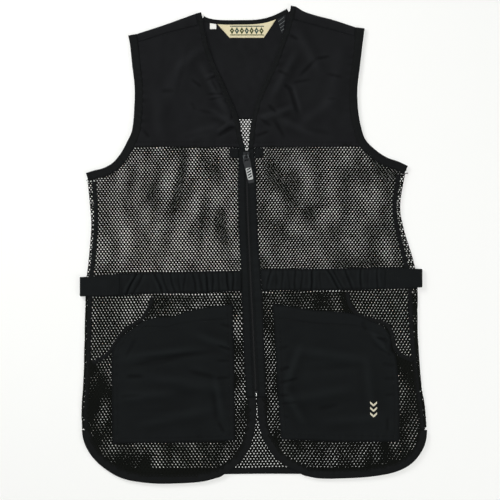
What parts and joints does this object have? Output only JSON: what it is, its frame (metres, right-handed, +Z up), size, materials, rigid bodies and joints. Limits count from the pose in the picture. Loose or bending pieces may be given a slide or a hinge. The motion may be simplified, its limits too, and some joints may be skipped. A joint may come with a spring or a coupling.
{
  "type": "shooting vest",
  "caption": "Sleeveless zip-front shooting vest of shell cloth and net with a gathered belt and patch pockets, laid flat on its back.",
  "frame": {"origin": "under the middle of the laid vest, on the surface that it lies on", "axes": "+X to the viewer's right when looking down on the front, +Y towards the shoulders, +Z up, out of the front"},
  "size_m": [0.538, 0.74, 0.0113],
  "materials": {
    "shell_cloth": "matt",
    "binding": "matt",
    "net": "matt",
    "zip_tape": "matt",
    "dark_metal": "satin",
    "bright_metal": "satin",
    "pull_rubber": "satin",
    "label": "satin",
    "tag": "satin",
    "care_tag": "satin"
  },
  "bodies": {
    "vest": {"back_yoke": "shell_cloth", "back_net": "net", "back_neck_binding": "binding", "back_hem_binding": "binding", "back_armhole_binding_left": "binding", "back_armhole_binding_right": "binding", "front_yoke_left": "shell_cloth", "front_yoke_right": "shell_cloth", "front_net_left": "net", "front_net_right": "net", "neck_binding_left": "binding", "neck_binding_right": "binding", "armhole_binding_left": "binding", "armhole_binding_right": "binding", "side_band_left": "binding", "side_band_right": "binding", "hem_binding_left": "binding", "hem_binding_right": "binding", "placket_left": "shell_cloth", "placket_right": "shell_cloth", "zip_tape_left": "zip_tape", "zip_tape_right": "zip_tape", "zip_slider": "dark_metal", "zip_stop": "bright_metal", "zip_patch_left": "binding", "zip_patch_right": "binding", "belt_left": "shell_cloth", "belt_right": "shell_cloth", "belt_tab_left": "shell_cloth", "belt_tab_right": "shell_cloth", "hand_pocket_left": "net", "hand_pocket_right": "net", "hand_pocket_binding_left": "binding", "hand_pocket_binding_right": "binding", "patch_pocket_left": "shell_cloth", "patch_pocket_right": "shell_cloth", "neck_label": "label", "size_tag": "tag", "care_tag": "care_tag"},
    "pull_tab": {"zip_pull_tab": "pull_rubber"}
  },
  "joints": [
    {"name": "pull_tab_hinge", "type": "hinge", "parent": "vest", "child": "pull_tab", "pos_m": [-0.0122, 0.138, 0.00895], "axis": [-0.9781, -0.2079, 0], "range_deg": [0, 160]}
  ]
}
